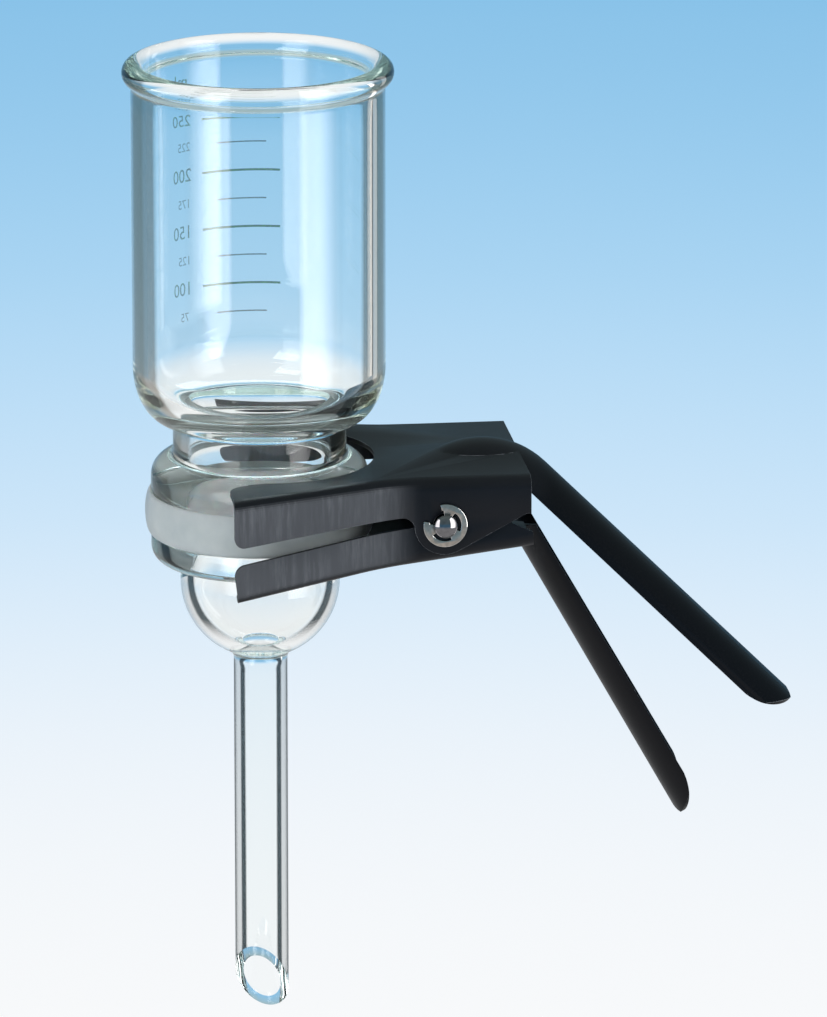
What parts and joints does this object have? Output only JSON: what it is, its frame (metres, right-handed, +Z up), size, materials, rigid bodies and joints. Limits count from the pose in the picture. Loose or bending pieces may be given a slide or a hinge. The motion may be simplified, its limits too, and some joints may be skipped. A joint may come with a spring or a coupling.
{
  "type": "vacuum filtration unit",
  "caption": "Glass vacuum filter holder: a graduated funnel and a stemmed base with a seal ring and a sintered disc between their flanges, held together by a sprung metal clamp.",
  "frame": {"origin": "on the glass axis at the top of the straight stem, where the stopper's bore takes it", "axes": "+Z up along the glass axis, +X along the clamp towards its grips, +Y across the clamp"},
  "size_m": [0.1868, 0.0972, 0.2757],
  "materials": {
    "glass": "polished",
    "seal": "satin",
    "frit": "matte",
    "clamp": "satin",
    "pin_steel": "polished",
    "spring_steel": "satin"
  },
  "bodies": {
    "glassware": {"funnel": "glass", "seal_ring": "seal", "sintered_disc": "frit", "base": "glass"},
    "clamp_lower": {"lower_jaw": "clamp", "pivot_pin": "pin_steel", "front_clip": "pin_steel", "rear_clip": "pin_steel", "torsion_spring": "spring_steel"},
    "clamp_upper": {"upper_jaw": "clamp"}
  },
  "joints": [
    {"name": "lower_half_swing", "type": "hinge", "parent": "glassware", "child": "clamp_lower", "pos_m": [0.048, 0, 0.04526], "axis": [0, 1, 0], "range_deg": [-5, 0]},
    {"name": "clamp_hinge", "type": "hinge", "parent": "clamp_lower", "child": "clamp_upper", "pos_m": [0.048, 0, 0.04526], "axis": [0, 1, 0], "range_deg": [0, 10], "stiffness_Nm_per_rad": 1, "springref_deg": -34.38, "deforming": ["torsion_spring"]}
  ],
  "couplings": [
    {"joint": "clamp_hinge", "follows": "lower_half_swing", "ratio": -2}
  ]
}
